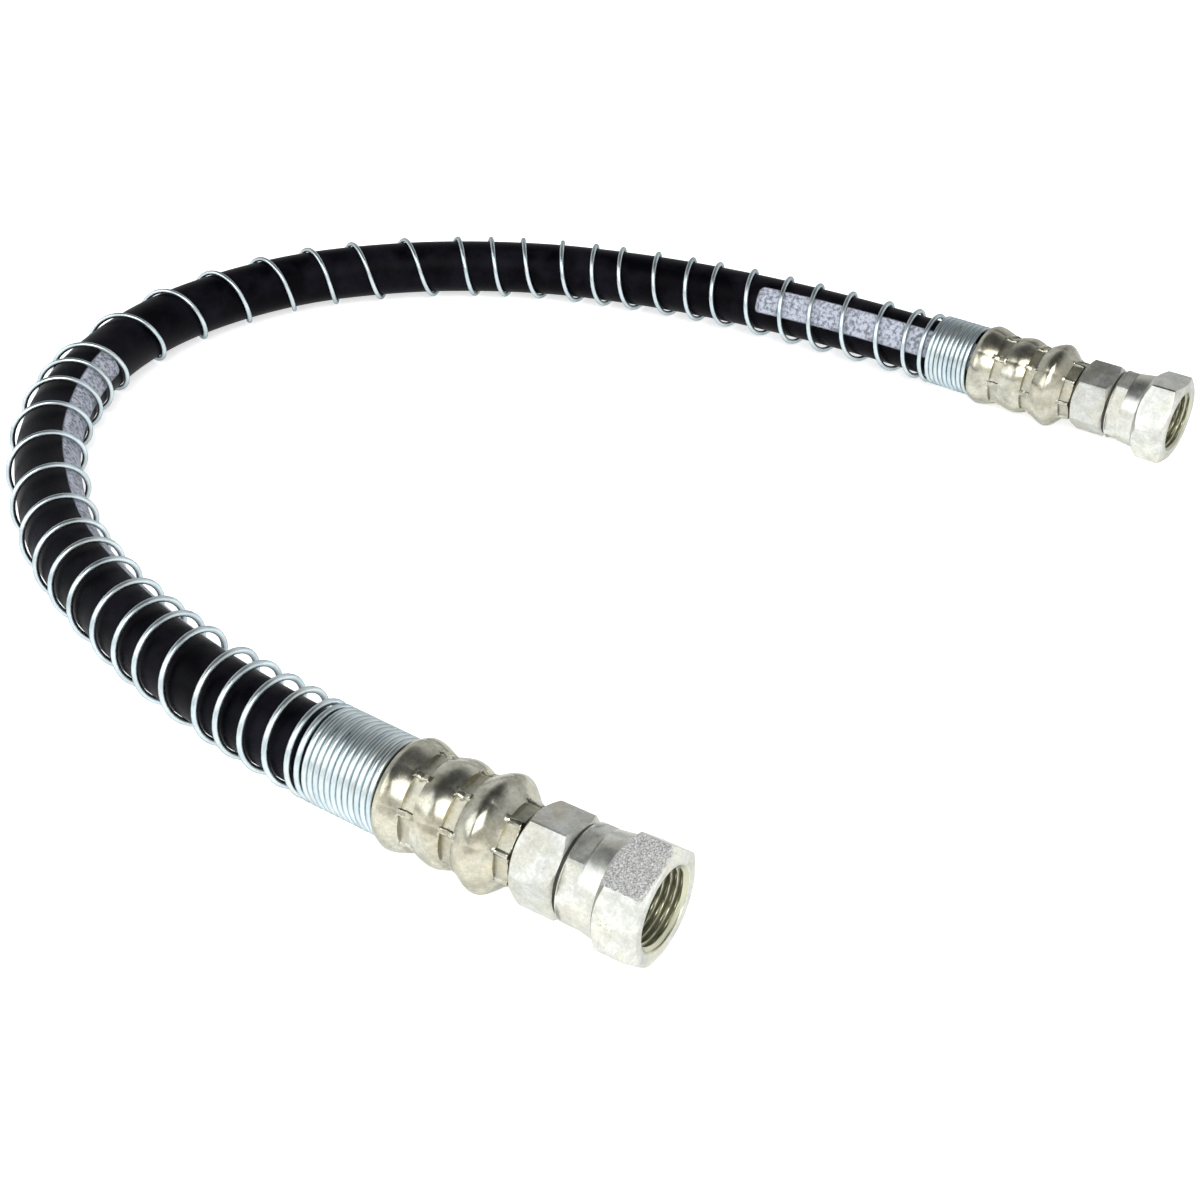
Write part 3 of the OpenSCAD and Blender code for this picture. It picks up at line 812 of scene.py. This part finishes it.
def new_material(name, attribute, metallic, tone):
    """A material with its shader, and the piece's own coordinates. tone is the plain
    colour that a viewport shows."""
    material = bpy.data.materials.new(name)
    material.use_nodes = True
    material.diffuse_color = (*tone, 1)
    tree = material.node_tree
    tree.nodes.clear()
    add, join = nodes_of(tree)
    shader = add("ShaderNodeBsdfPrincipled")
    shader.inputs["Metallic"].default_value = metallic
    out = add("ShaderNodeOutputMaterial")
    join(shader.outputs["BSDF"], out.inputs["Surface"])
    place = add("ShaderNodeAttribute", attribute_name=attribute)
    return material, add, join, shader, place.outputs["Vector"]


def roughness_from(add, join, value, shader, low, high, clamp=True):
    rough = mapped(add, join, value, 0.0, 1.0, low, high, clamp)
    join(rough, shader.inputs["Roughness"])


def bump_from(add, join, height, shader, strength, distance):
    bump = add("ShaderNodeBump")
    bump.inputs["Strength"].default_value = strength
    bump.inputs["Distance"].default_value = distance * MM
    join(height, bump.inputs["Height"])
    join(bump.outputs["Normal"], shader.inputs["Normal"])


# ---------------------------------------------------------------- finishes

# What plated metal keeps of its shine where it is seen edge on
EDGE_TINT = (0.62, 0.63, 0.62, 1)


def turned_zinc(add, join, place, patch_size, light, dark, tint, tint_amount, speck_size, specks):
    """Zinc plating on turned steel: patches, tool marks round the axis, specks and scuffs.
    Gives the colour, the patches, the marks, the specks and the scuffs."""
    tone = placed_group(add, join, place, PLATING_TONE, Patch_Size=patch_size, Light=light,
                        Dark=dark, Tint=tint, Tint_Amount=tint_amount)
    lines = placed_group(add, join, place, DRAWN_MARKS, Stretch=(6.0, 0.5, 0.5), Fineness=620.0)
    pits = placed_group(add, join, place, PITS, Fineness=speck_size, Amount=specks)
    pitted = mixed(add, join, pits.outputs["Mask"], tone.outputs["Color"], (0.2, 0.19, 0.16, 1))
    scuffs = placed_group(add, join, place, SCUFFS, Fineness=1500.0)
    join(pitted, scuffs.inputs["Color"])
    return (scuffs.outputs["Color"], tone.outputs["Patch"], lines.outputs["Height"],
            pits.outputs["Mask"], scuffs.outputs["Height"])


def plated_finish(name, light, dark, tint, tint_amount, rough, marks, specks):
    """Turned and plated steel. Where the crimping dies pressed, it is matter and more
    scuffed."""
    material, add, join, shader, place = new_material(name, "place", 1.0, light[:3])
    colour, patch, lines, pits, scuffs = turned_zinc(
        add, join, place, 230.0, light, dark, tint, tint_amount, 2600.0, specks)
    join(colour, shader.inputs["Base Color"])
    shader.inputs["Specular Tint"].default_value = EDGE_TINT
    pressed = add("ShaderNodeAttribute", attribute_name="pressed").outputs["Fac"]
    wear = summed(add, join, [(patch, 0.45), (lines, 0.55), (pressed, 1.1)])
    roughness_from(add, join, wear, shader, *rough, clamp=False)
    dents = add("ShaderNodeMath", operation="MULTIPLY_ADD")
    join(pressed, dents.inputs[0])
    dents.inputs[1].default_value = 1.6
    dents.inputs[2].default_value = 0.35
    scuff_height = times(add, join, scuffs, dents.outputs["Value"])
    height = summed(add, join, [(lines, marks), (patch, 0.2), (pits, -0.5), (scuff_height, 0.9)])
    bump_from(add, join, height, shader, 0.5, 0.02)
    return material


def nut_finish():
    """As the other plated parts, with one flat left coarse and sparkling by its forge,
    and a darker olive tone in the thread, whose darkening is painted shade in the bore."""
    material, add, join, shader, place = new_material(
        "nut_plating", "place", 1.0, (0.6, 0.61, 0.58))
    plain, patch, lines, pits, scuffs = turned_zinc(
        add, join, place, 300.0, (0.67, 0.68, 0.64, 1), (0.47, 0.48, 0.45, 1),
        (0.58, 0.55, 0.44, 1), 0.45, 2400.0, 0.8)
    # painted shade: inside the thread the colour is darkened, and tinted olive
    bore = add("ShaderNodeAttribute", attribute_name="bore").outputs["Fac"]
    tinted = mixed(add, join, bore, plain, (0.46, 0.46, 0.35, 1))
    marked = add("ShaderNodeAttribute", attribute_name="coarse").outputs["Fac"]
    is_coarse = add("ShaderNodeMath", operation="GREATER_THAN")
    is_coarse.inputs[1].default_value = 0.5
    join(marked, is_coarse.inputs[0])
    coarse = is_coarse.outputs["Value"]
    grain = noise(add, join, place, 3000.0, 3.0, roughness=0.75)
    speck = mapped(add, join, grain, 0.4, 0.66)
    sparkle = mixed(add, join, speck, (0.25, 0.25, 0.245, 1), (0.82, 0.82, 0.80, 1))
    join(mixed(add, join, coarse, tinted, sparkle), shader.inputs["Base Color"])
    join(mixed(add, join, coarse, 1.0, 0.4, "FLOAT"), shader.inputs["Metallic"])
    shader.inputs["Specular Tint"].default_value = EDGE_TINT
    pressed = add("ShaderNodeAttribute", attribute_name="pressed").outputs["Fac"]
    wear = summed(add, join, [(patch, 0.45), (lines, 0.55), (pressed, 0.9)])
    plain_rough = mapped(add, join, wear, 0.0, 1.0, 0.24, 0.44, clamp=False)
    join(mixed(add, join, coarse, plain_rough, 0.42, "FLOAT"), shader.inputs["Roughness"])
    fine = summed(add, join, [(lines, 0.35), (patch, 0.2), (pits, -0.5), (scuffs, 0.6)])
    grains = times(add, join, speck, 2.5)
    bump_from(add, join, mixed(add, join, coarse, fine, grains, "FLOAT"), shader, 0.5, 0.03)
    return material


def wire_finish():
    """Bright zinc on drawn wire: streaks along it, and a grey bloom in places."""
    material, add, join, shader, place = new_material(
        "wire_plating", "drawn", 1.0, (0.6, 0.65, 0.68))
    tone = placed_group(add, join, place, PLATING_TONE, Patch_Size=120.0,
                        Light=(0.61, 0.695, 0.725, 1), Dark=(0.41, 0.485, 0.515, 1),
                        Tint=(0.60, 0.61, 0.56, 1), Tint_Amount=0.42)
    lines = placed_group(add, join, place, DRAWN_MARKS, Stretch=(0.08, 1.0, 1.0), Fineness=2400.0)
    join(tone.outputs["Color"], shader.inputs["Base Color"])
    shader.inputs["Specular Tint"].default_value = (0.30, 0.32, 0.33, 1)
    wear = summed(add, join, [(tone.outputs["Patch"], 0.5), (lines.outputs["Height"], 0.5)])
    roughness_from(add, join, wear, shader, 0.22, 0.42)
    bump_from(add, join, lines.outputs["Height"], shader, 0.35, 0.02)
    return material


def cover_finish():
    """Black rubber with a faint cloth impression, lighter bluish blotches that are partly a dusting
    and partly painted sheen, and its worn layline.
    """
    material, add, join, shader, place = new_material(
        "cover_rubber", "straight", 0.0, (0.02, 0.02, 0.022))
    # painted sheen: lighter bluish blotches in the rubber's colour, partly a dusting on it
    dust_and_sheen = noise(add, join, place, 95.0, 6.0, roughness=0.6)
    dust_and_sheen_mask = mapped(add, join, dust_and_sheen, 0.42, 0.72)
    rubber = mixed(add, join, dust_and_sheen_mask, (0.0008, 0.0008, 0.0018, 1), (0.0075, 0.0072, 0.0115, 1))
    fine = noise(add, join, place, 900.0, 3.0)
    # the print of the curing wrap
    weave = placed_group(add, join, place, WOUND_THREADS, Round_One=54.0, Climb_One=900.0,
                         Round_Two=54.0, Climb_Two=-5200.0)
    # layline: a pale stripe, rubbed through in patches
    stripe = add("ShaderNodeAttribute", attribute_name="layline")
    ragged = noise(add, join, place, 900.0, 4.0, roughness=0.65)
    near = summed(add, join, [(stripe.outputs["Fac"], 1.0), (ragged, 0.9)])
    inside = mapped(add, join, near, LAYLINE_WIDTH / 2 + 0.65, LAYLINE_WIDTH / 2 + 0.2)
    rubbed = mapped(add, join, ragged, 0.40, 0.56, 0.35, 1.0)
    shown = times(add, join, inside, rubbed)
    colour = mixed(add, join, shown, rubber, (0.48, 0.51, 0.59, 1))
    join(colour, shader.inputs["Base Color"])
    wear = summed(add, join, [(dust_and_sheen_mask, 0.5), (fine, 0.5)])
    roughness_from(add, join, wear, shader, 0.36, 0.58)
    shader.inputs["Specular IOR Level"].default_value = 0.035
    height = summed(add, join, [(weave.outputs["Height"], 0.25), (fine, 0.5), (dust_and_sheen, 0.8)])
    bump_from(add, join, height, shader, 0.35, 0.05)
    return material


def braid_finish():
    """Brass-coated steel wires, wound both ways."""
    material, add, join, shader, place = new_material(
        "braid_wires", "straight", 1.0, (0.62, 0.5, 0.3))
    wires = placed_group(add, join, place, WOUND_THREADS, Round_One=36.0, Climb_One=7000.0,
                         Round_Two=-36.0, Climb_Two=7000.0)
    tone = placed_group(add, join, place, PLATING_TONE, Patch_Size=300.0,
                        Light=(0.66, 0.53, 0.30, 1), Dark=(0.42, 0.34, 0.22, 1),
                        Tint=(0.5, 0.48, 0.44, 1), Tint_Amount=0.5)
    join(tone.outputs["Color"], shader.inputs["Base Color"])
    roughness_from(add, join, tone.outputs["Patch"], shader, 0.3, 0.5)
    bump_from(add, join, wires.outputs["Height"], shader, 0.6, 0.1)
    return material


def liner_finish():
    """Plain black tube rubber with a slight bloom."""
    material, add, join, shader, place = new_material(
        "liner_rubber", "straight", 0.0, (0.05, 0.05, 0.05))
    bloom = noise(add, join, place, 220.0, 4.0)
    colour = mixed(add, join, bloom, (0.022, 0.022, 0.022, 1), (0.05, 0.05, 0.05, 1))
    join(colour, shader.inputs["Base Color"])
    roughness_from(add, join, bloom, shader, 0.55, 0.8)
    bump_from(add, join, bloom, shader, 0.3, 0.05)
    return material


# ---------------------------------------------------------------- the pieces


def finish_piece(piece, material, slot, body, *nodes):
    piece.data.materials.clear()
    piece.data.materials.append(material)
    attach(piece, body)
    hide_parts(*nodes)


def build_hose():
    cover = hose_layer("hose_cover_rubber", COVER_R, HOSE_R)
    braid = hose_layer("hose_braid_wires", BRAID_R, COVER_R, 4.0)
    liner = hose_layer("hose_liner", TUBE_R, BRAID_R, 4.0)
    guard = spring_guard()
    finish_piece(cover, cover_finish(), "cover_rubber", "hose_line", "hose_cover")
    finish_piece(braid, braid_finish(), "braid_steel", "hose_line", "hose_wire_braid")
    finish_piece(liner, liner_finish(), "tube_rubber", "hose_line", "hose_inner_tube")
    finish_piece(guard, wire_finish(), "spring_zinc", "hose_line", "spring_guard")


# Mouth and heading of each end, its pieces' turns in degrees, and how far its ferrule is
# drawn out
ENDS = {
    "end_a": (MOUTH_A, 0.0, {"ferrule": 0, "stem": 16, "nut": 46, "reach": 0}),
    "end_b": (MOUTH_B, HEADING_B, {"ferrule": 14, "stem": 41, "nut": 183, "reach": 1.2}),
}


def build_fittings():
    ferrule = turned("ferrule_master", ferrule_section(), 288)
    crimp_ferrule(ferrule)
    smooth(ferrule, 24)
    stem = turned("stem_master", stem_section(), NUT_STEPS)
    mill_hexagon(stem, *STEM_HEX, STEM_BLANK_R, STEM_FLAT_R, (8.97, STEM_SLOPE), (8.97, STEM_SLOPE))
    smooth(stem, 22)
    nut = turned("nut_master", nut_section(), NUT_STEPS)
    mill_hexagon(nut, *NUT_HEX, NUT_BLANK_R, NUT_FLAT_R, NUT_BACK, NUT_FRONT)
    crimp_collar(nut)
    cut_thread(nut)
    mark_surfaces(nut)
    smooth(nut, 13)
    plating = plated_finish("ferrule_plating", (0.545, 0.54, 0.465, 1), (0.31, 0.305, 0.255, 1),
                            (0.50, 0.455, 0.315, 1), 0.45, (0.15, 0.33), 0.4, 0.4)
    stem_plating = plated_finish("stem_plating", (0.64, 0.66, 0.64, 1), (0.44, 0.44, 0.40, 1),
                                 (0.54, 0.51, 0.40, 1), 0.4, (0.42, 0.58), 0.4, 0.7)
    nut_plating = nut_finish()
    for end, (mouth, heading, turns) in ENDS.items():
        sleeve = place_at(ferrule, end + "_crimped_ferrule", turns["ferrule"], mouth, heading,
                          turns["reach"])
        finish_piece(sleeve, plating, "ferrule_zinc", "hose_line", end + "_ferrule")
        core = place_at(stem, end + "_hexagon_stem", turns["stem"], mouth, heading)
        finish_piece(core, stem_plating, "stem_zinc", "hose_line", end + "_stem")
        ring = place_at(nut, end + "_threaded_nut", turns["nut"], mouth, heading)
        finish_piece(ring, nut_plating, "nut_zinc", end + "_nut", end + "_swivel_nut")
    for master in (ferrule, stem, nut):
        bpy.data.objects.remove(master)


build_hose()
build_fittings()

# ---------------------------------------------------------------- floor and light


SEEN_BY = ("Is Camera Ray", "Is Glossy Ray", "Is Transmission Ray")
FLOOR_GLOW = 0.6


def pale_floor():
    """White as the camera sees it, with the object's soft shadow; it lights the object
    no more than plain white paper does."""
    bpy.ops.object.select_all(action="DESELECT")
    bpy.ops.mesh.primitive_plane_add(size=8, location=(-0.1, 0, 0))
    floor = bpy.context.object
    floor.name = "floor"
    material = bpy.data.materials.new("floor")
    material.use_nodes = True
    shader = material.node_tree.nodes["Principled BSDF"]
    shader.inputs["Base Color"].default_value = (0.93, 0.93, 0.93, 1)
    shader.inputs["Roughness"].default_value = 0.9
    shader.inputs["Specular IOR Level"].default_value = 0.0
    add, join = nodes_of(material.node_tree)
    path = add("ShaderNodeLightPath")
    join(summed(add, join, [(path.outputs[name], FLOOR_GLOW) for name in SEEN_BY]),
         shader.inputs["Emission Strength"])
    shader.inputs["Emission Color"].default_value = (1, 1, 1, 1)
    floor.data.materials.append(material)


def studio_air():
    """A white surround that darkens overhead. What the camera, metal and glass see is
    the white; the rest of the scene is lit at a plainer level."""
    world = bpy.data.worlds.new("studio")
    scene.world = world
    world.use_nodes = True
    tree = world.node_tree
    tree.nodes.clear()
    add, join = nodes_of(tree)
    where = add("ShaderNodeTexCoord")
    parts = add("ShaderNodeSeparateXYZ")
    join(where.outputs["Generated"], parts.inputs["Vector"])
    overhead = add("ShaderNodeMapRange", interpolation_type="SMOOTHSTEP")
    overhead.inputs["From Min"].default_value = 0.3
    overhead.inputs["From Max"].default_value = 0.85
    join(parts.outputs["Z"], overhead.inputs["Value"])
    seen = mixed(add, join, overhead.outputs["Result"], (1, 1, 1, 1), (0.13, 0.132, 0.135, 1))
    path = add("ShaderNodeLightPath")
    rays = summed(add, join, [(path.outputs[name], 1.0) for name in SEEN_BY])
    colour = mixed(add, join, rays, (0.5, 0.51, 0.53, 1), seen)
    backdrop = add("ShaderNodeBackground")
    join(colour, backdrop.inputs["Color"])
    out = add("ShaderNodeOutputWorld")
    join(backdrop.outputs["Background"], out.inputs["Surface"])


def softbox(name, direction, distance, width, height, power, tone):
    lamp = bpy.data.lights.new(name, "AREA")
    lamp.shape = "RECTANGLE"
    lamp.size, lamp.size_y = width, height
    lamp.energy = power
    lamp.color = tone
    light = bpy.data.objects.new(name, lamp)
    aim = Vector((-0.1, 0.0, 0.0))
    light.location = aim + Vector(direction).normalized() * distance
    light.rotation_mode = "QUATERNION"
    light.rotation_quaternion = (aim - light.location).to_track_quat("-Z", "Y")
    scene.collection.objects.link(light)


pale_floor()
studio_air()
softbox("key_softbox", (0.43, -0.59, 0.70), 1.2, 1.1, 0.8, 12.0, (1.0, 0.99, 0.97))
softbox("side_softbox", (-0.56, -0.63, 0.52), 1.2, 0.95, 0.8, 4.6, (0.97, 0.99, 1.0))

scene.view_settings.view_transform = "Standard"
